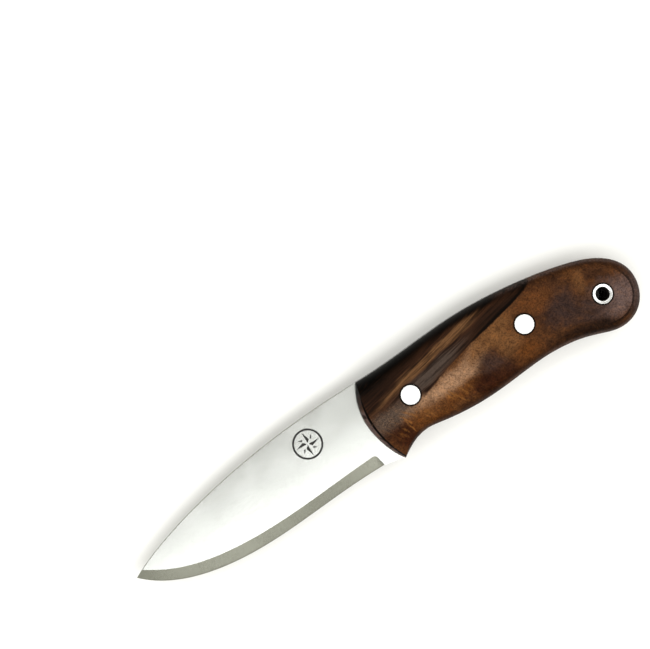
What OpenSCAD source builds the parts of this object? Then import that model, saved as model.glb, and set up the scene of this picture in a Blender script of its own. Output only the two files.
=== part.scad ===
// Full-tang bushcraft knife: one steel blank, two walnut scales, two shouldered rivets and a lanyard tube.
// X runs from the tip to the butt, Y towards the spine and Z up through the thickness.
// The knife lies on the flat of its right scale, and the origin is under the middle of its outline.

/* [Overall] */
// Length from the tip to the butt
overall_len = 226; // [200:1:250]
// Height from the belly of the edge to the back of the handle
overall_height = 41.6; // [38:0.2:46]

/* [Blade] */
// Thickness of the steel blank
stock_t = 3.2; // [2.5:0.1:4.5]
// Thickness left at the cutting edge
edge_t = 0.2; // [0.1:0.05:0.4]

/* [Scales] */
// Thickness of each scale
scale_t = 9.4; // [8:0.1:11]
// Height of the upright wall where a scale meets the tang
wall_h = 2; // [1:0.1:3]
// How far the rounded edge turns before it meets the flat, in degrees
edge_turn = 74; // [60:1:85]

/* [Rivets] */
// Diameter of the rivet heads
rivet_head_d = 7.6; // [6:0.1:9]
// Diameter of the nut's shank
rivet_shank_d = 5; // [4.4:0.1:5.6]
// Diameter of the bolt's threaded stud
rivet_stud_d = 3; // [2:0.1:3.4]
// Height of the heads' shoulders above the tang
shoulder_h = 3; // [2:0.1:5]
// Distance of the front rivet ahead of the middle
front_rivet_x = 14.8; // [12:0.1:20]
// Height of the front rivet above the middle
front_rivet_y = 2.7; // [0:0.1:5]
// Distance of the rear rivet ahead of the middle
rear_rivet_x = 66.1; // [60:0.1:72]
// Height of the rear rivet above the middle
rear_rivet_y = 4.5; // [2:0.1:7]

/* [Lanyard tube] */
// Outside diameter of the tube
tube_od = 7.7; // [7:0.1:9]
// Bore of the tube
tube_id = 5.3; // [4:0.1:6]
// Distance of the tube ahead of the middle
tube_x = 97.9; // [90:0.1:99]
// Height of the tube above the middle
tube_y = -0.4; // [-2:0.1:1]

/* [Hidden] */

$fn = 64;

// Width of the glue line around each rivet and the tube
glue_gap = 0.05;
// Space left where a rivet's two halves close on each other
closing_gap = 0.1;
// How far a cutter passes the surface that it opens
overcut = 1;

mid_z = scale_t + stock_t / 2;
total_t = 2 * mid_z;
head_h = scale_t - shoulder_h;

// The outlines are drawn on this length and height, and stretch to the overall size
drawn_len = 226;
drawn_height = 41.6;

tip = [-113, -6.8];
heel = [-7.4, -16.6];
// Where the bevel runs out, on the spine behind the tip and in the corner behind the heel
bevel_end = [-109.6, -4.9];
bevel_corner = [-7.1, -16.6];
guard_tip = [1.2, -17.8];
front_top = [-1.2, 17];
belly_y = -20.8;
back_y = 20.8;

// Each curve runs from its first point to its last, pulled towards the two between them
edge_curves = [
    [tip, [-104, -15.4], [-89, belly_y], [-66, belly_y]],
    [[-66, belly_y], [-48, belly_y], [-30, -17.2], [-9.6, -16.7]],
    [[-9.6, -16.7], [-9, -16.7], [-8, -16.6], heel]
];
grind_curves = [
    [bevel_end, [-103.4, -8.4], [-93.5, -15.8], [-64, -15.8]],
    [[-64, -15.8], [-46, -15.8], [-29, -13], [-9.9, -11.55]],
    [[-9.9, -11.55], [-8.8, -11.45], [-8.2, -12], [-8.05, -13.2]]
];
spine_curve = [front_top, [-59, 15.6], [-98.5, 1], bevel_end];
// The belly runs from the guard's tip to the butt, and the back from the butt to the top of the scales
belly_curves = [
    [guard_tip, [6, -14.5], [10, -12.2], [15.5, -12.2]],
    [[15.5, -12.2], [18.5, -12.2], [25, -13.8], [36, -13.8]],
    [[36, -13.8], [49, -13.8], [61, -10.8], [71, -10.8]],
    [[71, -10.8], [88, -10.8], [92, -15.6], [99, -15.6]],
    [[99, -15.6], [108, -15.6], [113, -8.5], [113, -1]]
];
back_curves = [
    [[113, -1], [113, 7], [106.5, 11.8], [99.5, 14.4]],
    [[99.5, 14.4], [90, 17.9], [69, back_y], [51, back_y]],
    [[51, back_y], [33, back_y], [17, 17.2], front_top]
];
// The scales' rounded front, below and above its foremost point
front_low_curve = [[-5.7, 2], [-5.7, -6.5], [-1, -16], guard_tip];
front_high_curve = [front_top, [-3.5, 13], [-5.7, 8.5], [-5.7, 2]];
// Border of each scale's flat, curve for curve beside the scale's outline
flat_curves = [
    [[-3.3, 2.2], [-3.3, -5], [-0.6, -13], [1.9, -16.7]],
    [[1.9, -16.7], [6, -12.6], [10, -8.9], [15.5, -8.7]],
    [[15.5, -8.7], [19, -8.6], [26, -9.2], [36, -9.2]],
    [[36, -9.2], [49, -9.2], [61, -6.4], [71, -6.4]],
    [[71, -6.4], [85, -6.4], [91, -11.9], [98.5, -11.9]],
    [[98.5, -11.9], [105, -11.9], [109, -6.5], [109, -1.2]],
    [[109, -1.2], [109, 5], [103.5, 9], [97.5, 11]],
    [[97.5, 11], [87, 14.3], [68, 15.8], [51, 15.8]],
    [[51, 15.8], [34, 15.8], [16, 12.8], [-2, 12.8]],
    [[-2, 12.8], [-2.8, 10], [-3.3, 6], [-3.3, 2.2]]
];

// Steps along each curve. Those below a piece's middle add up to as many as those above it,
// because its flat faces are closed by strips that cross from one side to the other.
edge_steps = [16, 16, 6];
front_low_steps = 10;
belly_steps = [8, 8, 12, 12, 18];
back_steps = [16, 18, 22];
front_high_steps = 12;
spine_steps = 41;
round_steps = 6;

function cubic(c, t) =
    pow(1 - t, 3) * c[0] + 3 * pow(1 - t, 2) * t * c[1] + 3 * (1 - t) * t * t * c[2] + pow(t, 3) * c[3];
function stretched(p) = [p[0] * overall_len / drawn_len, p[1] * overall_height / drawn_height];
// Points along a chain of curves, up to but not including its last point
function trace(curves, steps) =
    [for (i = [0:len(curves) - 1]) for (k = [0:steps[i] - 1]) stretched(cubic(curves[i], k / steps[i]))];
function trace_to_end(curves, steps) = concat(trace(curves, steps), [stretched(curves[len(curves) - 1][3])]);
function between(a, b, f) = a + (b - a) * f;

edge_points = trace_to_end(edge_curves, edge_steps);
grind_points = trace_to_end(grind_curves, edge_steps);
blank_points = concat(
    edge_points,
    [stretched(bevel_corner)],
    trace(concat(belly_curves, back_curves), concat(belly_steps, back_steps)),
    trace_to_end([spine_curve], [spine_steps]));
scale_steps = concat([front_low_steps], belly_steps, back_steps, [front_high_steps]);
scale_points = trace(
    concat([front_low_curve], belly_curves, back_curves, [front_high_curve]), scale_steps);
flat_points = trace(flat_curves, scale_steps);

// Triangles over a ring of n points, in strips across it from its first point to the one halfway round
function strips(n) = concat(
    [for (k = [0:n / 2 - 2]) [k, k + 1, n - k - 1]],
    [for (k = [1:n / 2 - 1]) [k, n - k - 1, n - k]]);

// Closed solid through rings of equal length, listed from the lowest up, each anticlockwise from above.
// Neighbouring points may meet, and the faces between them are then left out.
module loft(rings) {
    n = len(rings[0]);
    last = len(rings) - 1;
    points = [for (ring = rings) each ring];
    sides = [for (r = [0:last - 1]) for (i = [0:n - 1])
        let (a = r * n + i, b = r * n + (i + 1) % n)
        each [[a, a + n, b + n], [a, b + n, b]]];
    top_cap = [for (f = strips(n)) [last * n + f[2], last * n + f[1], last * n + f[0]]];
    faces = [for (f = concat(strips(n), sides, top_cap))
        if (points[f[0]] != points[f[1]] && points[f[1]] != points[f[2]] && points[f[2]] != points[f[0]]) f];
    polyhedron(points = points, faces = faces);
}

// Border of the blank's flat: the grind line beside the edge, and the outline everywhere else
function flat_ring(z) = [for (i = [0:len(blank_points) - 1])
    let (p = i < len(grind_points) ? grind_points[i] : blank_points[i]) [p[0], p[1], z]];
// Outline of the blank on one side of its middle plane: thin along the edge and full everywhere else
function rim_ring(side) = [for (i = [0:len(blank_points) - 1])
    let (p = blank_points[i], t = i < len(grind_points) ? edge_t : stock_t) [p[0], p[1], side * t / 2]];

// Hole straight through the knife at one place
module through_hole(x, y, d) {
    translate([x, y, -overcut]) cylinder(d = d, h = total_t + 2 * overcut);
}

module blade() {
    color("lightgray") difference() {
        translate([0, 0, mid_z])
            loft([flat_ring(-stock_t / 2), rim_ring(-1), rim_ring(1), flat_ring(stock_t / 2)]);
        through_hole(front_rivet_x, front_rivet_y, rivet_shank_d + 2 * glue_gap);
        through_hole(rear_rivet_x, rear_rivet_y, rivet_shank_d + 2 * glue_gap);
        through_hole(tube_x, tube_y, tube_od + 2 * glue_gap);
    }
}

// Ring of a scale where its rounded edge has turned by an angle, measured from the tang's face
function scale_ring(turn) = [for (i = [0:len(scale_points) - 1])
    let (p = between(scale_points[i], flat_points[i], (1 - cos(turn)) / (1 - cos(edge_turn))))
    [p[0], p[1], wall_h + (scale_t - wall_h) * sin(turn) / sin(edge_turn)]];

// Hole for a rivet: narrow through the wood, wide from the shoulder to the outer face
module rivet_hole(x, y) {
    translate([x, y, -overcut]) cylinder(d = rivet_shank_d + 2 * glue_gap, h = scale_t + 2 * overcut);
    translate([x, y, shoulder_h]) cylinder(d = rivet_head_d + 2 * glue_gap, h = scale_t);
}

// One scale with its inner face on the ground
module scale_body() {
    difference() {
        loft(concat(
            [[for (p = scale_points) [p[0], p[1], 0]]],
            [for (k = [0:round_steps]) scale_ring(edge_turn * k / round_steps)]));
        rivet_hole(front_rivet_x, front_rivet_y);
        rivet_hole(rear_rivet_x, rear_rivet_y);
        translate([tube_x, tube_y, -overcut]) cylinder(d = tube_od + 2 * glue_gap, h = scale_t + 2 * overcut);
    }
}

module left_scale() {
    color("saddlebrown") translate([0, 0, mid_z + stock_t / 2]) scale_body();
}

module right_scale() {
    color("sienna") translate([0, 0, scale_t]) mirror([0, 0, 1]) scale_body();
}

// Half of a rivet with the head uppermost, and a threaded stud that reaches down through the tang
module rivet_bolt(x, y) {
    translate([x, y, total_t - head_h]) cylinder(d = rivet_head_d, h = head_h);
    translate([x, y, scale_t]) cylinder(d = rivet_stud_d, h = mid_z);
}

// Half of a rivet with the head lowest, and a shank whose bore takes the stud
module rivet_nut(x, y) {
    translate([x, y, 0]) difference() {
        union() {
            cylinder(d = rivet_head_d, h = head_h);
            cylinder(d = rivet_shank_d, h = total_t - head_h - closing_gap);
        }
        translate([0, 0, scale_t - overcut]) cylinder(d = rivet_stud_d + 2 * glue_gap, h = total_t);
    }
}

module front_rivet_bolt() {
    color("silver") rivet_bolt(front_rivet_x, front_rivet_y);
}

module front_rivet_nut() {
    color("gray") rivet_nut(front_rivet_x, front_rivet_y);
}

module rear_rivet_bolt() {
    color("silver") rivet_bolt(rear_rivet_x, rear_rivet_y);
}

module rear_rivet_nut() {
    color("gray") rivet_nut(rear_rivet_x, rear_rivet_y);
}

module lanyard_tube() {
    color("gainsboro") translate([tube_x, tube_y, 0]) difference() {
        cylinder(d = tube_od, h = total_t);
        translate([0, 0, -overcut]) cylinder(d = tube_id, h = total_t + 2 * overcut);
    }
}

blade();
left_scale();
right_scale();
front_rivet_bolt();
front_rivet_nut();
rear_rivet_bolt();
rear_rivet_nut();
lanyard_tube();
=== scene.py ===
"""Full-tang knife: a flat steel blank, bookmatched walnut scales, two steel rivets and a lanyard sleeve."""

import math

import bmesh
import bpy
from bpy.props import FloatProperty, FloatVectorProperty, PointerProperty
from mathutils import Color, Matrix, Vector
from mathutils.geometry import interpolate_bezier


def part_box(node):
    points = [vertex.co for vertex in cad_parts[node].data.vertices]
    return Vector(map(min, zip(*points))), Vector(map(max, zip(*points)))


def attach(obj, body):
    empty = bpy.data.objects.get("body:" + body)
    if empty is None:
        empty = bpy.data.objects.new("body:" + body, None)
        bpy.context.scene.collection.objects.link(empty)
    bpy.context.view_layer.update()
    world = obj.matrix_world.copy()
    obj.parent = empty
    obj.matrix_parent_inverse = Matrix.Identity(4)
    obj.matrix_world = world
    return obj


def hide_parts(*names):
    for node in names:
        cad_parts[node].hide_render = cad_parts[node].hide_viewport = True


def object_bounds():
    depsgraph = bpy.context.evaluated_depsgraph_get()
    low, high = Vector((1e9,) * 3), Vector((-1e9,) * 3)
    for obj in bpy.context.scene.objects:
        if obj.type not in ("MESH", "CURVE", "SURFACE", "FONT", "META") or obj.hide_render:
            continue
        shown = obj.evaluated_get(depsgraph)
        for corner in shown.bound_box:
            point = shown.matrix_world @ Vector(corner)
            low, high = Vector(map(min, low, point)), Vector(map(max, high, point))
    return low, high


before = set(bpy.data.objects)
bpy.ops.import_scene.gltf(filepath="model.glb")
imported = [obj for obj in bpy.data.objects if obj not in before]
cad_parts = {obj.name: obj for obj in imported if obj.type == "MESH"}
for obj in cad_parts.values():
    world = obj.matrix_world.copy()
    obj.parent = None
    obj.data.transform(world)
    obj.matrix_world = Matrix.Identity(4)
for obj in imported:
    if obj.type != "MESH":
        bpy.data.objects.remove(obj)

bl_info = {
    "name": "Full-Tang Knife",
    "version": (1, 0, 0),
    "blender": (4, 5, 0),
    "location": "View3D > Sidebar > Knife",
    "description": "Builds a full-tang knife with walnut scales, piece by piece",
    "category": "Add Mesh",
}

CAD_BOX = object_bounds()
MM = 0.001

# The outlines are drawn in millimetres on this length and height, and stretch to the blank's own size.
DRAWN_LENGTH = 226.0
DRAWN_HEIGHT = 41.6

TIP = (-113, -6.8)
HEEL = (-7.4, -16.6)
BEVEL_END = (-109.6, -4.9)
BEVEL_CORNER = (-7.1, -16.6)
BEVEL_TOP = (-8.05, -13.2)
GUARD_TIP = (1.2, -17.8)
FRONT_TOP = (-1.2, 17)

# Each curve runs from its first point to its last, pulled towards the two between them.
EDGE = (
    (TIP, (-104, -15.4), (-89, -20.8), (-66, -20.8)),
    ((-66, -20.8), (-48, -20.8), (-30, -17.2), (-9.6, -16.7)),
    ((-9.6, -16.7), (-9, -16.7), (-8, -16.6), HEEL),
)
GRIND_LINE = (
    (BEVEL_END, (-103.4, -8.4), (-93.5, -15.8), (-64, -15.8)),
    ((-64, -15.8), (-46, -15.8), (-29, -13), (-9.9, -11.55)),
    ((-9.9, -11.55), (-8.8, -11.45), (-8.2, -12), BEVEL_TOP),
)
SPINE = ((FRONT_TOP, (-59, 15.6), (-98.5, 1), BEVEL_END),)
BELLY = (
    (GUARD_TIP, (6, -14.5), (10, -12.2), (15.5, -12.2)),
    ((15.5, -12.2), (18.5, -12.2), (25, -13.8), (36, -13.8)),
    ((36, -13.8), (49, -13.8), (61, -10.8), (71, -10.8)),
    ((71, -10.8), (88, -10.8), (92, -15.6), (99, -15.6)),
    ((99, -15.6), (108, -15.6), (113, -8.5), (113, -1)),
)
BACK = (
    ((113, -1), (113, 7), (106.5, 11.8), (99.5, 14.4)),
    ((99.5, 14.4), (90, 17.9), (69, 20.8), (51, 20.8)),
    ((51, 20.8), (33, 20.8), (17, 17.2), FRONT_TOP),
)
FRONT_LOW = (((-5.7, 2), (-5.7, -6.5), (-1, -16), GUARD_TIP),)
FRONT_HIGH = ((FRONT_TOP, (-3.5, 13), (-5.7, 8.5), (-5.7, 2)),)
# Border of each scale's flat, curve for curve beside the scale's outline.
FLAT_BORDER = (
    ((-3.3, 2.2), (-3.3, -5), (-0.6, -13), (1.9, -16.7)),
    ((1.9, -16.7), (6, -12.6), (10, -8.9), (15.5, -8.7)),
    ((15.5, -8.7), (19, -8.6), (26, -9.2), (36, -9.2)),
    ((36, -9.2), (49, -9.2), (61, -6.4), (71, -6.4)),
    ((71, -6.4), (85, -6.4), (91, -11.9), (98.5, -11.9)),
    ((98.5, -11.9), (105, -11.9), (109, -6.5), (109, -1.2)),
    ((109, -1.2), (109, 5), (103.5, 9), (97.5, 11)),
    ((97.5, 11), (87, 14.3), (68, 15.8), (51, 15.8)),
    ((51, 15.8), (34, 15.8), (16, 12.8), (-2, 12.8)),
    ((-2, 12.8), (-2.8, 10), (-3.3, 6), (-3.3, 2.2)),
)

EDGE_STEPS = (56, 56, 10)
SPINE_STEPS = (80,)
BELLY_STEPS = (20, 18, 24, 28, 34)
BACK_STEPS = (30, 34, 40)
FRONT_LOW_STEPS = (26,)
FRONT_HIGH_STEPS = (22,)
ROUNDING_RINGS = 18
HOLE_SIDES = 96

# Share of the bevel's width that the finer bevel beside the edge takes, and its height over mid-steel
FINE_BEVEL_SHARE = 0.09
FINE_BEVEL_RISE = 0.3 * MM
# The spine's broken corner grows over this length in front of the handle, from the least corner, and is
# rounded by a middle ring at this share of it
CHAMFER_FADE = 8 * MM
LEAST_CHAMFER = 0.03 * MM
CHAMFER_ROUND = 0.35
# Steepness of the faces that take the bevel's finish, as the upward part of their normals
BEVEL_SLOPE = (0.8, 0.998)

# Turn of the scales' rolled edge, in degrees: least at the front and the butt, and this much more along
# the grip. The crisp front and butt each end at the first place and fade over the second length.
LEAST_ROLL = 66
GRIP_ROLL = 21
CRISP_FRONT = (2 * MM, 7 * MM)
CRISP_BUTT = (108 * MM, 10 * MM)
# The flat's outermost ring lies just inside its border, and keeps the rolled edge's shading off the flat
FLAT_RING = 1.08
# A point this far inside a scale's flat, in millimetres, is clear of its border
FAR_INSIDE = 20
# Shift of the lower board's figure from the upper one's, in millimetres
LOWER_BOARD_SHIFT = (1.2, -0.6)

# Compass star on the left flat: its middle, the inside of its ring, and the dark half of a long and of a
# short point, each corner given by its reach and its angle from the long point's direction
STAR_PLACE = (-29.2, 5.4)
STAR_RING = 0.87
LONG_POINT = ((0.05, -20), (0.84, -0.5), (0.33, -43))
SHORT_POINT = ((0.38, 43), (0.7, 45), (0.42, 24))

THREAD_PITCH = 0.5 * MM
THREAD_DEPTH = 0.2 * MM
SLEEVE_LIP = 0.25 * MM
CAMERA_PLACE = (-0.0002, 0.0424)


def trace(curves, steps):
    """Points along a chain of curves, in metres, up to but not including its last point."""
    lo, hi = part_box("blade")
    stretch = Vector(((hi.x - lo.x) / DRAWN_LENGTH, (hi.y - lo.y) / DRAWN_HEIGHT, 0))
    points = []
    for curve, count in zip(curves, steps):
        start, pull_out, pull_in, end = (Vector((x, y, 0)) * stretch for x, y in curve)
        points += interpolate_bezier(start, pull_out, pull_in, end, count + 1)[:-1]
    return points


def lone(point):
    """A single drawn point, traced as a curve that stays in its place."""
    return trace(((point,) * 4,), (1,))


def middle(node):
    """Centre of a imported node's box."""
    lo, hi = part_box(node)
    return (lo + hi) / 2


def eased(share):
    """Goes from 0 to 1 with both ends eased, and stays there."""
    share = min(1, max(0, share))
    return share * share * (3 - 2 * share)


# ---------------------------------------------------------------------------------------------------
# Mesh work
# ---------------------------------------------------------------------------------------------------


def edges_between(verts):
    """Edges whose two ends are both in the list."""
    inside = set(verts)
    return [e for e in {e for v in verts for e in v.link_edges} if inside.issuperset(e.verts)]


def ring(bm, points):
    """Closed wire loop through the points, each vertex numbered by its place."""
    station = bm.verts.layers.int.get("station") or bm.verts.layers.int.new("station")
    verts = bmesh.ops.create_circle(bm, segments=len(points), radius=MM)["verts"]
    for number, (vert, point) in enumerate(zip(verts, points)):
        vert.co = point
        vert[station] = number
    return edges_between(verts)


def circle(bm, centre, radius, height):
    """Closed round loop that lies flat at a height."""
    place = Matrix.Translation((centre.x, centre.y, height))
    made = bmesh.ops.create_circle(bm, segments=HOLE_SIDES, radius=radius, matrix=place)
    return edges_between(made["verts"])


def pull(bm, loop, place):
    """Extrudes a loop of edges and puts each new vertex where place(vertex) says."""
    made = bmesh.ops.extrude_edge_only(bm, edges=loop)["geom"]
    verts = [g for g in made if isinstance(g, bmesh.types.BMVert)]
    for vert in verts:
        vert.co = place(vert)
    return edges_between(verts)


def pull_to_points(bm, loop, points):
    """Extrudes a numbered loop on to the points of the next ring."""
    station = bm.verts.layers.int["station"]
    return pull(bm, loop, lambda vert: points[vert[station]])


def pull_to_height(bm, loop, height):
    """Extrudes a flat loop straight to another height."""
    return pull(bm, loop, lambda vert: Vector((vert.co.x, vert.co.y, height)))


def step_to_radius(bm, loop, centre, radius):
    """Extrudes a round loop inwards or outwards at its own height."""

    def place(vert):
        arm = Vector((vert.co.x - centre.x, vert.co.y - centre.y, 0)).normalized()
        return Vector((centre.x, centre.y, vert.co.z)) + arm * radius

    return pull(bm, loop, place)


def fill(bm, *loops):
    """Flat face between an outer loop and the loops inside it."""
    edges = [edge for loop in loops for edge in loop]
    return bmesh.ops.triangle_fill(bm, use_beauty=True, edges=edges, normal=(0, 0, 1))["geom"]


def turned(bm, centre, profile):
    """Turns a profile of (radius, height) points once round an upright axis."""
    verts = [bm.verts.new((centre.x + radius, centre.y, height)) for radius, height in profile]
    edges = [bm.edges.new(pair) for pair in zip(verts, verts[1:])]
    bmesh.ops.spin(
        bm, geom=verts + edges, cent=(centre.x, centre.y, 0), axis=(0, 0, 1),
        angle=math.tau, steps=HOLE_SIDES, use_merge=True)


def finish_piece(name, bm, looks, node, crease):
    """Closes a mesh, makes its object, hangs it on the root and hides the imported part it stands for."""
    bmesh.ops.remove_doubles(bm, verts=bm.verts, dist=0.0002 * MM)
    bmesh.ops.dissolve_degenerate(bm, edges=bm.edges, dist=0.0002 * MM)
    bmesh.ops.recalc_face_normals(bm, faces=bm.faces)
    for face in bm.faces:
        face.smooth = True
    for edge in bm.edges:
        edge.smooth = edge.calc_face_angle(0) < math.radians(crease)
    mesh = bpy.data.meshes.new(name)
    bm.to_mesh(mesh)
    bm.free()
    for look in looks:
        mesh.materials.append(look)
    piece = bpy.data.objects.new(name, mesh)
    bpy.context.scene.collection.objects.link(piece)
    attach(piece, "root")
    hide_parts(node)


# ---------------------------------------------------------------------------------------------------
# Shader work
# ---------------------------------------------------------------------------------------------------


def screen(red, green, blue):
    """Linear colour of a colour given as it shows on a screen, 0 to 255."""
    return tuple(Color((red / 255, green / 255, blue / 255)).from_srgb_to_scene_linear()) + (1.0,)


class Socket:
    """A shader output that takes part in Python sums."""

    def __init__(self, look, output):
        self.look = look
        self.output = output

    def maths(self, operation, first, second):
        return self.look.node("Math", {"operation": operation}, {0: first, 1: second})

    def __add__(self, other):
        return self.maths("ADD", self, other)

    def __radd__(self, other):
        return self.maths("ADD", other, self)

    def __sub__(self, other):
        return self.maths("SUBTRACT", self, other)

    def __rsub__(self, other):
        return self.maths("SUBTRACT", other, self)

    def __mul__(self, other):
        return self.maths("MULTIPLY", self, other)

    def __rmul__(self, other):
        return self.maths("MULTIPLY", other, self)


class Look:
    """A material, built node by node."""

    def __init__(self, name):
        self.material = bpy.data.materials.new(name)
        self.material.use_nodes = True
        self.tree = self.material.node_tree
        self.tree.nodes.clear()

    def node(self, kind, settings=None, sockets=None, output=0):
        """Adds a node, its settings first and then the values or links of its sockets."""
        made = self.tree.nodes.new("ShaderNode" + kind)
        for name, value in (settings or {}).items():
            setattr(made, name, value)
        for name, value in (sockets or {}).items():
            if isinstance(value, Socket):
                self.tree.links.new(value.output, made.inputs[name])
            else:
                made.inputs[name].default_value = value
        return Socket(self, made.outputs[output]) if made.outputs else None

    def place(self, shift=(0, 0, 0), scale=(1000, 1000, 1000)):
        """Object coordinates in millimetres."""
        raw = self.node("TexCoord", output="Object")
        return self.node("Mapping", {"vector_type": "POINT"}, {
            "Vector": raw, "Location": shift, "Scale": scale})

    def squeezed(self, vector, centre=(0, 0, 0), turn=0.0, size=(1, 1, 1)):
        """A vector measured from a centre, along turned axes and in lengths of its own."""
        return self.node("Mapping", {"vector_type": "TEXTURE"}, {
            "Vector": vector, "Location": centre, "Rotation": (0, 0, turn), "Scale": size})

    def noise(self, vector, scale, detail=3.0, roughness=0.55, output=0):
        return self.node("TexNoise", {}, {
            "Vector": vector, "Scale": scale, "Detail": detail, "Roughness": roughness}, output)

    def vector_maths(self, operation, first, second=(0, 0, 0), output=0):
        return self.node("VectorMath", {"operation": operation}, {0: first, 1: second}, output)

    def drifted(self, vector, scale, reach, detail=2.0):
        """A vector pushed about by a noise, up to half the reach each way."""
        push = self.noise(vector, scale, detail, output=1)
        push = self.vector_maths("SUBTRACT", push, (0.5, 0.5, 0.5))
        push = self.vector_maths("MULTIPLY", push, (reach, reach, reach))
        return self.vector_maths("ADD", vector, push)

    def rise(self, value, low, high):
        """Goes smoothly from 0 at low to 1 at high."""
        return self.node("MapRange", {"interpolation_type": "SMOOTHSTEP"}, {
            "Value": value, "From Min": low, "From Max": high})

    def fall(self, value, low, high):
        """Goes smoothly from 1 at low to 0 at high."""
        return self.node("MapRange", {"interpolation_type": "SMOOTHSTEP"}, {
            "Value": value, "From Min": low, "From Max": high, "To Min": 1.0, "To Max": 0.0})

    def mix(self, factor, first, second, blend="MIX"):
        """Mixes two colours. Either may be a socket, or a colour of three or four parts."""
        settings = {"data_type": "RGBA", "blend_type": blend, "clamp_factor": True}
        first, second = (
            value if isinstance(value, Socket) else tuple(value)[:3] + (1.0,) for value in (first, second))
        return self.node("Mix", settings, {0: factor, 6: first, 7: second}, output=2)

    def bump(self, height, distance):
        return self.node("Bump", {}, {"Strength": 1.0, "Distance": distance, "Height": height})

    def finish(self, **sockets):
        """Ends the material in one Principled shader."""
        names = {name.replace("_", " "): value for name, value in sockets.items()}
        shader = self.node("BsdfPrincipled", {}, names)
        self.node("OutputMaterial", {}, {"Surface": shader})
        return self.material


# Patches of colour in the walnut: colour, centre x and y, half length, half width, turn, strength
FIGURE = (
    ("ash", 5, -1.5, 11, 4.8, 5, 0.9),
    # The two tan patches along the middle of the grip are partly the wood's pale tone and partly a painted
    # sheen.
    ("tan", 27, -1.9, 15, 4.6, 11, 1.0),
    ("tan", 40, 1.6, 10, 3.8, 22, 0.75),
    ("gold", 50, 6.0, 11, 3.6, 20, 0.9),
    ("plum", 48.5, -3.2, 6.5, 5.5, -15, 0.9),
    ("gold", 58, 1.5, 5.5, 6, 30, 0.8),
    ("gold", 58, 9, 9, 3.4, 22, 0.65),
    ("copper", 73, 10.4, 11, 4.4, -8, 0.95),
    ("plum", 82.5, 2.2, 8.5, 7.0, 35, 1.0),
    ("gold", 92.5, 8.8, 2.6, 5.5, -12, 0.45),
    ("heart", 100, 8.0, 6, 5, -30, 0.7),
    ("mauve", 103, -4.0, 13, 7.5, -5, 0.9),
    ("plum", 90, -3.0, 9, 5.5, -5, 0.8),
    ("shadow", 76, -8.2, 7, 2.6, -10, 0.6),
    ("shadow", 87, -10, 14, 3.0, -16, 0.95),
    ("orange", 18, -7.6, 13, 4.0, 3, 0.9),
    ("orange", 33, -6.6, 8, 3.2, 6, 0.8),
    ("red", 5, -10.5, 7, 5, -30, 0.9),
    ("red", 45, -8.8, 11, 4.2, 4, 0.95),
    ("orange", 62.5, -5.4, 6, 4.2, 10, 0.8),
)
# The same for the wedge, which lies over them
WEDGE_FIGURE = (
    ("ash", 25, 6.0, 18, 3.0, 14, 0.85),
    ("shadow", 5, 10, 10, 2.6, 10, 0.7),
    ("streak", 22, 10.6, 22, 1.7, 14.5, 0.95),
    ("streak", 42, 14.9, 12, 1.6, 12, 0.9),
    ("black", 7, 16, 24, 4.6, 8, 1.0),
    ("shadow", 57, 13.8, 12, 2, 12, 0.7),
)


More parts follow.
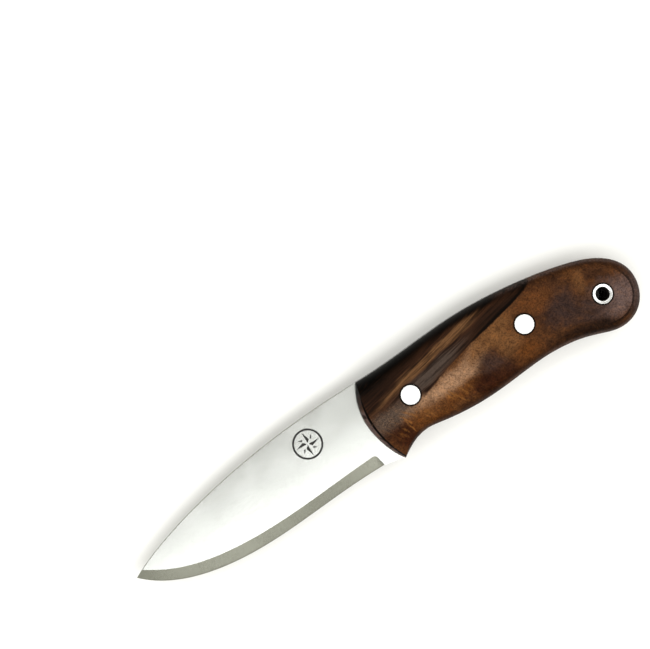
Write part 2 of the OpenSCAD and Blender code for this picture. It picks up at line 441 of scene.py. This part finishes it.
class Walnut(Look):
    """Oiled walnut with a black wedge along the back and a mottled, curly figure under it."""

    def __init__(self, name, colours, right):
        super().__init__(name)
        self.colours = colours
        thickness = (CAD_BOX[1].z - CAD_BOX[0].z) / MM
        if right:
            place = self.place((*LOWER_BOARD_SHIFT, thickness), (1000, 1000, -1000))
        else:
            place = self.place()
        self.x, self.y, height = (self.node("SeparateXYZ", {}, {"Vector": place}, axis) for axis in "XYZ")
        self.depth = thickness - height
        self.along = self.x + self.depth * 0.2
        self.across = self.y - self.depth * 0.3
        self.board = self.node("CombineXYZ", {}, {"X": self.along, "Y": self.across, "Z": height * 0.5})
        self.drift = self.drifted(self.board, 0.06, 4.0)
        self.fine_drift = self.drifted(self.drift, 0.35, 1.6)
        self.bowed = self.drifted(self.board, 0.03, 3.0, 1.0)
        self.long_grain = self.noise(self.grain(self.bowed, 26, 2), 0.85, 5.0, 0.6)
        self.fibre = self.noise(self.grain(self.board, 12), 4.5, 3.0, 0.6)
        self.cloud = self.noise(self.fine_drift, 0.13, 5.0, 0.62)
        self.speck = self.noise(self.fine_drift, 1.5, 4.0, 0.7)

    def grain(self, vector, length, deep=1):
        """A vector drawn out along the grain, which rises towards the butt."""
        return self.squeezed(vector, turn=math.radians(15), size=(length, 1, deep))

    def spot(self, x, y, length, width, turn, rough):
        """1 in the middle of a soft-edged ellipse and 0 outside it, through the board's whole thickness."""
        near = self.squeezed(self.drift, (x, y, 12), math.radians(turn), (length, width, 60))
        reach = self.vector_maths("LENGTH", near, output=1) + (rough - 0.5) * 1.4
        return self.fall(reach, 0.35, 1.4)

    def lay(self, base, rows, rough):
        """Lays a table of colour patches over a base."""
        for tone, x, y, length, width, turn, strength in rows:
            patch = self.spot(x, y, length, width, turn, rough) * strength
            base = self.mix(patch, base, getattr(self.colours, tone))
        return base

    def ground(self):
        """Mottled wood with its patches of colour, and curl across the grain along the belly."""
        colours = self.colours
        base = self.mix(self.rise(self.cloud, 0.36, 0.62), colours.heart, colours.warm)
        base = self.mix(self.rise(self.long_grain, 0.5, 0.75) * 0.4, base, colours.shadow)
        base = self.lay(base, FIGURE, self.cloud)
        curl_place = self.squeezed(self.drift, turn=math.radians(-58), size=(4, 1, 4))
        curl = self.rise(self.noise(curl_place, 0.7, 4.0, 0.6), 0.46, 0.66)
        belly = self.spot(11, -7, 9, 4.5, -10, self.cloud) + self.spot(31, -7, 7, 5, 0, self.cloud)
        base = self.mix(curl * (belly * 0.6 + 0.06), base, colours.amber)
        mottle = self.noise(self.fine_drift, 0.42, 4.0, 0.65)
        base = self.mix(self.rise(mottle, 0.5, 0.66) * 0.4, base, screen(150, 138, 132), "MULTIPLY")
        base = self.mix(self.fall(mottle, 0.34, 0.48) * 0.25, base, screen(255, 232, 205), "SOFT_LIGHT")
        base = self.mix(self.rise(self.speck, 0.5, 0.62) * 0.55, base, screen(140, 128, 120), "MULTIPLY")
        base = self.mix(self.fall(self.speck, 0.38, 0.47) * 0.35, base, screen(255, 238, 215), "SOFT_LIGHT")
        fleck = self.rise(self.noise(self.fine_drift, 2.6, 3.0, 0.6), 0.56, 0.66)
        return self.mix(fleck * self.spot(4, -0.5, 9, 5, 0, self.cloud) * 0.5, base, colours.tan)

    def with_wedge(self, base):
        """Adds the wedge over a sharp, slightly bent line: ashy ground, golden streaks, a black corner."""
        colours = self.colours
        bend = self.along - 52
        line = bend * 0.25 + bend * bend * bend * 0.00008 + 10.2
        above = self.across - line + (self.cloud - 0.5) * 1.4 + (self.fibre - 0.5) * 0.6
        wedge = self.mix(self.rise(self.long_grain, 0.36, 0.7), colours.heart, colours.shadow)
        wedge = self.lay(wedge, WEDGE_FIGURE, self.long_grain)
        dark_grain = self.rise(self.long_grain, 0.5, 0.58) * self.fall(self.long_grain, 0.58, 0.66)
        wedge = self.mix(dark_grain * 0.5, wedge, colours.black)
        thread = self.noise(self.grain(self.bowed, 22, 2), 2.6, 3.0, 0.6)
        wedge = self.mix(self.rise(thread, 0.52, 0.64) * 0.6, wedge, colours.shadow)
        start = self.rise(self.across + self.rise(self.along, 14, 26) * 6, 0, 5)
        base = self.mix(self.rise(above, -0.3, 0.3) * start, base, wedge)
        rim = self.rise(above, -0.4, 0.2) * self.fall(above, 0.4, 2.2) * self.rise(self.along, 26, 58)
        return self.mix(rim * 0.9, base, colours.black)

    def with_hole_rings_and_edge_light(self, base):
        """Adds a dark ring round each hole, painted shade on the rolled edge, and a painted sheen part way
        down the rolled edge towards the butt.
        """
        colours = self.colours
        for node in ("front_rivet_nut", "rear_rivet_nut", "lanyard_tube"):
            hole = middle(node) / MM
            from_hole = self.squeezed(self.place(), hole, size=(1, 1, 1000))
            # Black in a thin ring of the wood round each hole, where it meets its fitting.
            hole_ring = self.fall(self.vector_maths("LENGTH", from_hole, output=1), 4.05, 4.7)
            base = self.mix(hole_ring * 0.95, base, colours.black)
        # Painted shade: the rolled edge is darkened from just below the flat's height.
        rolled_edge_shade = self.rise(self.depth, 0.02, 1.3) * self.rise(self.along, -4, 4)
        base = self.mix(rolled_edge_shade * 0.5, base, screen(120, 106, 98), "MULTIPLY")
        # Painted sheen: a patchy greyish purple band part way down the rolled edge, growing towards the
        # butt, stands in for the edge's reflection.
        wear_and_sheen = self.rise(self.depth, 1.4, 3.0) * self.fall(self.depth, 3.4, 5.5)
        wear_and_sheen = wear_and_sheen * self.rise(self.x, 20, 90) * self.fall(self.fibre, 0.3, 0.62)
        wear_and_sheen = wear_and_sheen * self.rise(self.cloud, 0.3, 0.5)
        return self.mix(wear_and_sheen * 0.7, base, colours.mauve)

    def with_edges(self, base):
        """Adds the blotchy front, the black back edge, and the fine dark line where they meet the flat. The
        black back edge is partly the wood's dark figure and partly painted shade.
        """
        colours = self.colours
        inset = self.node("Attribute", {"attribute_name": "inset"}, output="Fac")
        front = self.fall(self.x, 1.8, 3.2) * self.fall(self.y, 11.5, 13.5)
        blotch = self.noise(self.squeezed(self.board, size=(3, 1, 1)), 0.36, 4.0, 0.6)
        band = self.mix(self.rise(blotch, 0.53, 0.62) * 0.85, colours.mauve, colours.black)
        band = self.mix(self.fall(blotch, 0.36, 0.46) * 0.5, band, colours.gold)
        band = self.mix(self.rise(self.y, 5, 8) * 0.75, band, colours.shadow)
        below_flat = self.fall(inset, -0.85, -0.6) * self.fall(self.depth, 3, 6.5)
        base = self.mix(below_flat * front * 0.85, base, band)
        # Painted shade on the back's rolled edge, laid over the wood's own black streak there.
        back = self.rise(self.across, 6, 10) * self.fall(self.along, 56, 70)
        base = self.mix(self.fall(inset, -3.4, -1.2) * back * 0.9, base, colours.black)
        butt = self.rise(self.x, 93, 99) * self.fall(self.y, 1, 8)
        front_line = self.rise(inset, -0.95, -0.55) * self.fall(inset, 0.0, 0.17) * front
        butt_line = self.rise(inset, -1.5, -0.3) * self.fall(inset, 0.0, 0.2) * butt * 0.8
        return self.mix((front_line + butt_line) * self.rise(self.speck, 0.3, 0.42), base, colours.black)

    def oiled(self):
        """Ends the material, with its fibres and open pores."""
        base = self.with_wedge(self.ground())
        base = self.mix(self.rise(self.fibre, 0.45, 0.8) * 0.3, base, self.colours.black)
        pores = self.rise(self.noise(self.grain(self.board, 6), 7.0, 2.0, 0.5), 0.62, 0.7)
        base = self.mix(pores * 0.5, base, self.colours.black)
        base = self.with_edges(self.with_hole_rings_and_edge_light(base))
        height = pores * -1.0 + self.fibre * 0.25
        return self.finish(
            Base_Color=base, Roughness=0.42 + self.speck * 0.14 + pores * 0.2,
            Specular_IOR_Level=0.02, Normal=self.bump(height, 0.04 * MM))


def steel(name, colour, roughness, turn, stretch, depth):
    """Steel with fine scratches along one direction and faint cloudy patches."""
    look = Look(name)
    place = look.place()
    strokes = look.squeezed(place, turn=math.radians(turn), size=(stretch, 1, stretch))
    scratch = look.noise(strokes, 9.0, 4.0, 0.7)
    cloud = look.noise(place, 0.09, 3.0, 0.6)
    grit = look.noise(place, 5.0, 2.0, 0.6)
    handled = look.rise(look.noise(look.drifted(place, 0.5, 1.5), 0.8, 4.0, 0.7), 0.42, 0.6)
    wear_and_sheen = look.rise(cloud, 0.35, 0.7)
    dulled = tuple(part * 0.82 for part in colour)
    shade = look.mix(scratch * 0.35 + wear_and_sheen * 0.2 + handled * 0.25, colour, dulled)
    rough = roughness + (scratch - 0.5) * 0.14 + (grit - 0.5) * 0.06 + wear_and_sheen * 0.04 + handled * 0.02
    return look.finish(
        Base_Color=shade, Metallic=1.0, Roughness=rough,
        Normal=look.bump(scratch + grit * 0.4, depth * MM))


def etched(name):
    """Dark, matt floor of an etched line."""
    look = Look(name)
    grit = look.noise(look.place(), 6.0, 3.0, 0.6)
    shade = look.mix(grit, screen(14, 14, 14), screen(44, 44, 42))
    return look.finish(
        Base_Color=shade, Metallic=0.3, Roughness=0.6 + grit * 0.2, Normal=look.bump(grit, 0.01 * MM))


def bore_steel(name):
    """Inside of the sleeve, coloured near black as painted shade."""
    look = Look(name)
    grit = look.noise(look.place(), 2.0, 3.0, 0.6)
    shade = look.mix(grit, screen(18, 17, 16), screen(60, 56, 52))
    return look.finish(
        Base_Color=shade, Metallic=0.6, Roughness=0.5 + grit * 0.2, Normal=look.bump(grit, 0.02 * MM))


# ---------------------------------------------------------------------------------------------------
# Settings
# ---------------------------------------------------------------------------------------------------


def length(name, description, default, **limits):
    """Size in metres, shown in the scene's length unit."""
    return FloatProperty(
        name=name, description=description, default=default, unit="LENGTH", subtype="DISTANCE",
        precision=5, **limits)


def colour(name, description, red, green, blue):
    return FloatVectorProperty(
        name=name, description=description, subtype="COLOR", size=3, min=0, max=1,
        default=screen(red, green, blue)[:3])


class KnifeBladeSettings(bpy.types.PropertyGroup):
    edge_thickness: length("Edge", "Thickness left at the cutting edge", 0.2 * MM, min=0.00005)
    chamfer: length("Chamfer", "Width of the broken corner along the spine", 0.3 * MM, min=0)
    mark_radius: length("Mark", "Radius of the compass star on the left flat", 6.1 * MM, min=0.001)
    mark_depth: length("Etch depth", "Depth of the etched star", 0.05 * MM, min=0)
    rivet_hole: length("Rivet holes", "Radius of the holes for the rivets", 2.55 * MM)
    sleeve_hole: length("Sleeve hole", "Radius of the hole for the lanyard sleeve", 3.9 * MM)
    flat_colour: colour("Flats", "Colour of the satin flats", 181, 183, 180)
    # The bevel's colour is darker than the flats' partly for its ground finish and partly as painted shade.
    bevel_colour: colour("Bevel", "Colour of the ground bevel", 160, 161, 149)


class KnifeScaleSettings(bpy.types.PropertyGroup):
    wall: length("Wall", "Height of the upright wall beside the tang", 2 * MM, min=0)
    rivet_hole: length("Rivet holes", "Radius of the holes for the rivet heads", 3.96 * MM)
    sleeve_hole: length("Sleeve hole", "Radius of the hole for the lanyard sleeve", 3.99 * MM)
    shank_hole: length("Shank holes", "Radius of the holes for the rivet shanks", 2.55 * MM)
    black: colour("Black", "Darkest streaks", 3, 2, 1)
    shadow: colour("Shadow", "Dark heartwood", 30, 17, 10)
    heart: colour("Heart", "Brown heartwood", 55, 33, 20)
    warm: colour("Warm", "Warm brown ground", 78, 48, 26)
    # Pale wood that also carries a painted sheen along the middle of the grip.
    tan: colour("Tan", "Pale patch under the wedge", 144, 111, 85)
    ash: colour("Ash", "Greyish brown behind the front", 72, 61, 54)
    red: colour("Red", "Reddish brown along the belly", 44, 19, 7)
    orange: colour("Orange", "Curly orange brown", 84, 48, 19)
    copper: colour("Copper", "Reddish gold behind the rear rivet", 82, 49, 25)
    gold: colour("Gold", "Golden brown", 104, 70, 41)
    amber: colour("Amber", "Curly strokes along the belly", 126, 82, 40)
    streak: colour("Streak", "Golden streaks in the wedge", 102, 71, 45)
    plum: colour("Plum", "Purplish brown", 51, 37, 33)
    mauve: colour("Mauve", "Greyish purple at the butt", 94, 77, 73)


class KnifeFittingSettings(bpy.types.PropertyGroup):
    shoulder: length("Shoulder", "Height of a head's shoulder above the tang", 3 * MM, min=0.0005)
    shank_radius: length("Shank", "Radius of the nut's shank", 2.5 * MM)
    stud_radius: length("Stud", "Radius of the bolt's stud", 1.5 * MM)
    chamfer: length("Chamfer", "Width of the broken corner round each head", 0.08 * MM, min=0)
    bore_radius: length("Bore", "Radius of the sleeve's bore", 2.65 * MM)
    steel_colour: colour("Steel", "Colour of the polished steel", 201, 201, 199)


class KnifeStageSettings(bpy.types.PropertyGroup):
    floor_colour: colour("Floor", "Colour of the floor", 244, 244, 242)
    camera_height: length("Camera height", "Height of the camera above the floor", 0.6, min=0.2)
    focal_length: FloatProperty(
        name="Focal length", description="Focal length of the camera", default=83.6, unit="CAMERA", min=20)
    camera_turn: FloatProperty(
        name="Camera turn", description="Turn of the camera about the upright axis",
        default=math.radians(-29.86), subtype="ANGLE", unit="ROTATION")


# ---------------------------------------------------------------------------------------------------
# Pieces
# ---------------------------------------------------------------------------------------------------


def inward_normals(points):
    """Unit vectors that point into an outline drawn anticlockwise."""
    normals = []
    for before, after in zip(points[-1:] + points[:-1], points[1:] + points[:1]):
        run = (after - before).normalized()
        normals.append(Vector((-run.y, run.x, 0)))
    return normals


def compass_halves(centre, radius, height):
    """Dark halves of an eight-pointed compass star, each a list of corners."""
    halves = []
    for north in (90, 180, 270, 360):
        for corners in (LONG_POINT, SHORT_POINT):
            arms = [
                Matrix.Rotation(math.radians(north + angle), 3, "Z") @ Vector((radius * reach, 0, 0))
                for reach, angle in corners]
            halves.append([centre + arm + Vector((0, 0, height)) for arm in arms])
    return halves


class KNIFE_OT_blade(bpy.types.Operator):
    """Make the steel blank with its ground bevel, tang holes and etched star"""

    bl_idname = "knife.blade"
    bl_label = "Blade"

    def execute(self, context):
        settings = context.scene.knife_blade
        lo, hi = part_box("blade")
        half = (hi.z - lo.z) / 2
        mid = (hi.z + lo.z) / 2
        edge = trace(EDGE, EDGE_STEPS) + lone(HEEL)
        grind = trace(GRIND_LINE, EDGE_STEPS) + lone(BEVEL_TOP)
        handle = trace(BELLY + BACK, BELLY_STEPS + BACK_STEPS)
        spine = trace(SPINE, SPINE_STEPS)
        outline = edge + lone(BEVEL_CORNER) + handle + spine + lone(BEVEL_END)
        edge_count = len(edge)
        normals = inward_normals(outline)

        def blank_ring(side, level):
            """One ring of the blank: level 0 is the rim, 1 the first facet and 2 the border of the flat."""
            points = []
            for number, (point, normal) in enumerate(zip(outline, normals)):
                if number < edge_count:
                    place = point.lerp(grind[number], (0, FINE_BEVEL_SHARE, 1)[level])
                    rise = (settings.edge_thickness / 2, FINE_BEVEL_RISE, half)[level]
                elif number in (edge_count, len(outline) - 1):
                    place = point
                    rise = half
                else:
                    cut = settings.chamfer * eased(-point.x / CHAMFER_FADE) + LEAST_CHAMFER
                    place = point + normal * cut * (0, CHAMFER_ROUND, 1)[level]
                    rise = half - cut * (1, CHAMFER_ROUND, 0)[level]
                points.append(Vector((place.x, place.y, mid + side * rise)))
            return points

        bm = bmesh.new()
        bottom = ring(bm, blank_ring(-1, 2))
        loop = bottom
        for side, level in ((-1, 1), (-1, 0), (1, 0), (1, 1), (1, 2)):
            loop = pull_to_points(bm, loop, blank_ring(side, level))

        holes = []
        for node, radius in (
                ("front_rivet_nut", settings.rivet_hole), ("rear_rivet_nut", settings.rivet_hole),
                ("lanyard_tube", settings.sleeve_hole)):
            top_hole = circle(bm, middle(node), radius, hi.z)
            holes.append((top_hole, pull_to_height(bm, top_hole, lo.z)))

        # The star is cut into the left flat: a ring round it, and the dark half of each of its points
        star = Vector((*STAR_PLACE, 0)) * MM
        etched_to = hi.z - settings.mark_depth
        ring_outer = circle(bm, star, settings.mark_radius, hi.z)
        ring_inner = circle(bm, star, settings.mark_radius * STAR_RING, hi.z)
        points = [ring(bm, half_point) for half_point in compass_halves(star, settings.mark_radius, hi.z)]
        fill(bm, loop, ring_outer, *(top for top, _ in holes))
        fill(bm, bottom, *(low for _, low in holes))
        fill(bm, ring_inner, *points)
        walls = pull_to_height(bm, ring_outer, etched_to) + pull_to_height(bm, ring_inner, etched_to)
        sunk = bmesh.ops.bridge_loops(bm, edges=walls)["faces"]
        for point in points:
            made = fill(bm, pull_to_height(bm, point, etched_to))
            sunk += [part for part in made if isinstance(part, bmesh.types.BMFace)]
        for face in sunk:
            face.material_index = 2
        bm.normal_update()
        for face in bm.faces:
            if BEVEL_SLOPE[0] < abs(face.normal.z) < BEVEL_SLOPE[1] and face.material_index == 0:
                face.material_index = 1
        looks = [
            steel("satin_flats", settings.flat_colour, 0.18, 4, 30, 0.004),
            steel("ground_bevel", settings.bevel_colour, 0.26, 82, 24, 0.006),
            etched("etched_mark"),
        ]
        finish_piece("knife_blade", bm, looks, "blade", 5)
        return {"FINISHED"}


class KNIFE_OT_scales(bpy.types.Operator):
    """Make the two bookmatched walnut scales"""

    bl_idname = "knife.scales"
    bl_label = "Scales"

    def execute(self, context):
        for side, right in (("left", False), ("right", True)):
            self.make_scale(context.scene, side, right)
        return {"FINISHED"}

    def make_scale(self, scene, side, right):
        settings = scene.knife_scales
        lo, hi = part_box(side + "_scale")
        inner, outer = (hi.z, lo.z) if right else (lo.z, hi.z)
        way = -1 if right else 1
        thickness = hi.z - lo.z
        steps = FRONT_LOW_STEPS + BELLY_STEPS + BACK_STEPS + FRONT_HIGH_STEPS
        outline = trace(FRONT_LOW + BELLY + BACK + FRONT_HIGH, steps)
        border = trace(FLAT_BORDER, steps)

        def turn_at(point):
            """The edge is rolled well over along the grip, and left crisp at the front and the butt."""
            from_front = (point.x - CRISP_FRONT[0]) / CRISP_FRONT[1]
            from_butt = (CRISP_BUTT[0] - point.x) / CRISP_BUTT[1]
            return math.radians(LEAST_ROLL + GRIP_ROLL * eased(min(from_front, from_butt)))

        def scale_ring(share, reach=1.0):
            """Ring of the rounded edge, from the wall at 0 to the flat at 1 and on across it past that."""
            points = []
            for start, end in zip(outline, border):
                full = turn_at(start)
                turn = full * share
                inwards = (1 - math.cos(turn)) / (1 - math.cos(full)) * reach
                up = settings.wall + (thickness - settings.wall) * math.sin(turn) / math.sin(full)
                place = start.lerp(end, inwards)
                points.append(Vector((place.x, place.y, inner + way * up)))
            return points

        bm = bmesh.new()
        first = ring(bm, [Vector((p.x, p.y, inner)) for p in outline])
        inset = bm.verts.layers.float.new("inset")
        station = bm.verts.layers.int["station"]
        loop = first
        for number in range(ROUNDING_RINGS + 1):
            loop = pull_to_points(bm, loop, scale_ring(number / ROUNDING_RINGS))
        loop = pull_to_points(bm, loop, scale_ring(1, FLAT_RING))
        # Each vertex is told how far inside the flat's border it is, in millimetres
        for vert in bm.verts:
            vert[inset] = (vert.co - border[vert[station]]).to_2d().length / -MM
        for vert in {vert for edge in loop for vert in edge.verts}:
            vert[inset] *= -1

        outer_holes = []
        inner_holes = []
        shoulder = inner + way * scene.knife_fittings.shoulder
        for hole in ("front_rivet_nut", "rear_rivet_nut"):
            mouth = circle(bm, middle(hole), settings.rivet_hole, outer)
            outer_holes.append(mouth)
            seat = pull_to_height(bm, mouth, shoulder)
            neck = step_to_radius(bm, seat, middle(hole), settings.shank_hole)
            inner_holes.append(pull_to_height(bm, neck, inner))
        mouth = circle(bm, middle("lanyard_tube"), settings.sleeve_hole, outer)
        outer_holes.append(mouth)
        inner_holes.append(pull_to_height(bm, mouth, inner))
        for vert in {vert for hole in outer_holes for edge in hole for vert in edge.verts}:
            vert[inset] = FAR_INSIDE
        fill(bm, first, *inner_holes)
        fill(bm, loop, *outer_holes)
        look = Walnut("walnut_" + side, settings, right).oiled()
        finish_piece("walnut_scale_" + side, bm, [look], side + "_scale", 14)


class KNIFE_OT_rivets(bpy.types.Operator):
    """Make the two rivets, each a threaded bolt and a nut"""

    bl_idname = "knife.rivets"
    bl_label = "Rivets"

    def execute(self, context):
        settings = context.scene.knife_fittings
        look = steel("lapped_steel", settings.steel_colour, 0.26, 20, 26, 0.003)
        for place in ("front", "rear"):
            self.make_bolt(settings, place, look)
            self.make_nut(settings, place, look)
        return {"FINISHED"}

    def make_bolt(self, settings, place, look):
        """Head uppermost, and a threaded stud that reaches down through the tang."""
        lo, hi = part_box(place + "_rivet_bolt")
        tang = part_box("blade")[1].z
        radius = (hi.x - lo.x) / 2
        seat = tang + settings.shoulder
        cut = settings.chamfer
        stud = settings.stud_radius
        root = stud - THREAD_DEPTH
        profile = [(0, lo.z), (root, lo.z)]
        height = lo.z + THREAD_PITCH / 2
        while height + THREAD_PITCH < seat - THREAD_PITCH:
            profile += [(root, height), (stud, height + THREAD_PITCH / 2)]
            height += THREAD_PITCH
        profile += [
            (root, height), (root, seat), (radius, seat), (radius, hi.z - cut), (radius - cut, hi.z),
            (0, hi.z)]
        bm = bmesh.new()
        turned(bm, middle(place + "_rivet_bolt"), profile)
        finish_piece(place + "_bolt", bm, [look], place + "_rivet_bolt", 30)

    def make_nut(self, settings, place, look):
        """Head lowest, and a shank whose bore takes the stud."""
        lo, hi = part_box(place + "_rivet_nut")
        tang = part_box("blade")[0].z
        radius = (hi.x - lo.x) / 2
        seat = tang - settings.shoulder
        cut = settings.chamfer
        bore = settings.stud_radius + 0.05 * MM
        floor = tang - 1 * MM
        shank = settings.shank_radius
        profile = [
            (0, lo.z), (radius - cut, lo.z), (radius, lo.z + cut), (radius, seat), (shank, seat),
            (shank, hi.z - cut), (shank - cut, hi.z), (bore + cut, hi.z), (bore, hi.z - cut), (bore, floor),
            (0, floor)]
        bm = bmesh.new()
        turned(bm, middle(place + "_rivet_nut"), profile)
        finish_piece(place + "_nut", bm, [look], place + "_rivet_nut", 30)


class KNIFE_OT_sleeve(bpy.types.Operator):
    """Make the sleeve that lines the lanyard hole"""

    bl_idname = "knife.sleeve"
    bl_label = "Lanyard sleeve"

    def execute(self, context):
        settings = context.scene.knife_fittings
        lo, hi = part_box("lanyard_tube")
        radius = (hi.x - lo.x) / 2
        bore = settings.bore_radius
        cut = settings.chamfer
        flare = bore + SLEEVE_LIP
        round_in = 0.1 * MM
        round_down = 0.08 * MM
        profile = [
            (bore, lo.z + SLEEVE_LIP), (bore + round_in, lo.z + round_down), (flare, lo.z),
            (radius - cut, lo.z), (radius, lo.z + cut), (radius, hi.z - cut), (radius - cut, hi.z),
            (flare, hi.z), (bore + round_in, hi.z - round_down), (bore, hi.z - SLEEVE_LIP),
            (bore, lo.z + SLEEVE_LIP)]
        bm = bmesh.new()
        axis = middle("lanyard_tube")
        turned(bm, axis, profile)
        # The bore's faces take the near-black finish, which paints the shade inside the sleeve.
        for face in bm.faces:
            if max((vert.co - axis).to_2d().length for vert in face.verts) < bore + round_in / 2:
                face.material_index = 1
        looks = [
            steel("sleeve_steel", settings.steel_colour, 0.24, 20, 26, 0.003),
            bore_steel("sleeve_bore"),
        ]
        finish_piece("lanyard_sleeve", bm, looks, "lanyard_tube", 30)
        return {"FINISHED"}


class KNIFE_OT_stage(bpy.types.Operator):
    """Set the camera, the floor and the soft light"""

    bl_idname = "knife.stage"
    bl_label = "Stage"

    def execute(self, context):
        scene = context.scene
        settings = scene.knife_stage
        self.set_camera(scene, settings)
        self.lay_floor(scene, settings)
        self.hang_lights(scene)
        scene.view_settings.view_transform = "Standard"
        return {"FINISHED"}

    def set_camera(self, scene, settings):
        lens = bpy.data.cameras.new("camera")
        lens.lens = settings.focal_length
        lens.sensor_width = 36
        lens.clip_start = 0.01
        camera = bpy.data.objects.new("camera", lens)
        camera.location = (*CAMERA_PLACE, settings.camera_height)
        camera.rotation_euler = (0, 0, settings.camera_turn)
        scene.collection.objects.link(camera)
        scene.camera = camera

    def lay_floor(self, scene, settings):
        bm = bmesh.new()
        bmesh.ops.create_grid(bm, x_segments=8, y_segments=8, size=4)
        bmesh.ops.translate(bm, verts=bm.verts, vec=(0, 0, -0.05 * MM))
        mesh = bpy.data.meshes.new("floor")
        bm.to_mesh(mesh)
        bm.free()
        look = Look("matt_floor")
        grain = look.noise(look.place(), 0.02, 3.0)
        dulled = tuple(part * 0.97 for part in settings.floor_colour)
        shade = look.mix(grain, settings.floor_colour, dulled)
        mesh.materials.append(look.finish(Base_Color=shade, Roughness=0.8, Specular_IOR_Level=0.2))
        floor = bpy.data.objects.new("floor", mesh)
        scene.collection.objects.link(floor)

    def hang_lights(self, scene):
        world = bpy.data.worlds.new("room")
        world.use_nodes = True
        background = world.node_tree.nodes["Background"]
        background.inputs["Color"].default_value = (1.0, 0.985, 0.91, 1)
        background.inputs["Strength"].default_value = 0.62
        scene.world = world
        # Soft panels on both sides of the camera, which leave a gap over it
        height = 1.4
        panels = (
            # name, x, y, width, depth, radiance
            ("panel_front", 0.0, -0.45, 1.4, 0.60, 4.6),
            ("panel_back", 0.0, 0.65, 1.4, 0.5, 2.0),
            ("panel_tip", -1.05, 0.0, 0.5, 1.2, 3.4),
            ("panel_butt", 1.05, 0.0, 0.5, 1.2, 3.4),
        )
        for name, x, y, width, deep, radiance in panels:
            lamp = bpy.data.lights.new(name, "AREA")
            lamp.shape = "RECTANGLE"
            lamp.size = width
            lamp.size_y = deep
            lamp.energy = radiance * math.pi * width * deep
            light = bpy.data.objects.new(name, lamp)
            light.location = (x, y, height)
            scene.collection.objects.link(light)


class KNIFE_PT_sidebar(bpy.types.Panel):
    """Lists the knife's pieces"""

    bl_idname = "KNIFE_PT_sidebar"
    bl_label = "Full-Tang Knife"
    bl_space_type = "VIEW_3D"
    bl_region_type = "UI"
    bl_category = "Knife"

    def draw(self, context):
        scene = context.scene
        for group, operators in PANEL_ROWS:
            box = self.layout.box()
            for operator in operators:
                box.operator(operator.bl_idname)
            settings = getattr(scene, group)
            for name in settings.__annotations__:
                box.prop(settings, name)


PANEL_ROWS = (
    ("knife_blade", (KNIFE_OT_blade,)),
    ("knife_scales", (KNIFE_OT_scales,)),
    ("knife_fittings", (KNIFE_OT_rivets, KNIFE_OT_sleeve)),
    ("knife_stage", (KNIFE_OT_stage,)),
)
SETTINGS = {
    "knife_blade": KnifeBladeSettings,
    "knife_scales": KnifeScaleSettings,
    "knife_fittings": KnifeFittingSettings,
    "knife_stage": KnifeStageSettings,
}
CLASSES = (
    *SETTINGS.values(), KNIFE_OT_blade, KNIFE_OT_scales, KNIFE_OT_rivets, KNIFE_OT_sleeve, KNIFE_OT_stage,
    KNIFE_PT_sidebar)


def register():
    for cls in CLASSES:
        bpy.utils.register_class(cls)
    for name, group in SETTINGS.items():
        setattr(bpy.types.Scene, name, PointerProperty(type=group))


def unregister():
    for name in SETTINGS:
        delattr(bpy.types.Scene, name)
    for cls in reversed(CLASSES):
        bpy.utils.unregister_class(cls)


def main():
    register()
    bpy.ops.knife.stage()
    bpy.ops.knife.blade()
    bpy.ops.knife.scales()
    bpy.ops.knife.rivets()
    bpy.ops.knife.sleeve()


if __name__ == "__main__":
    main()
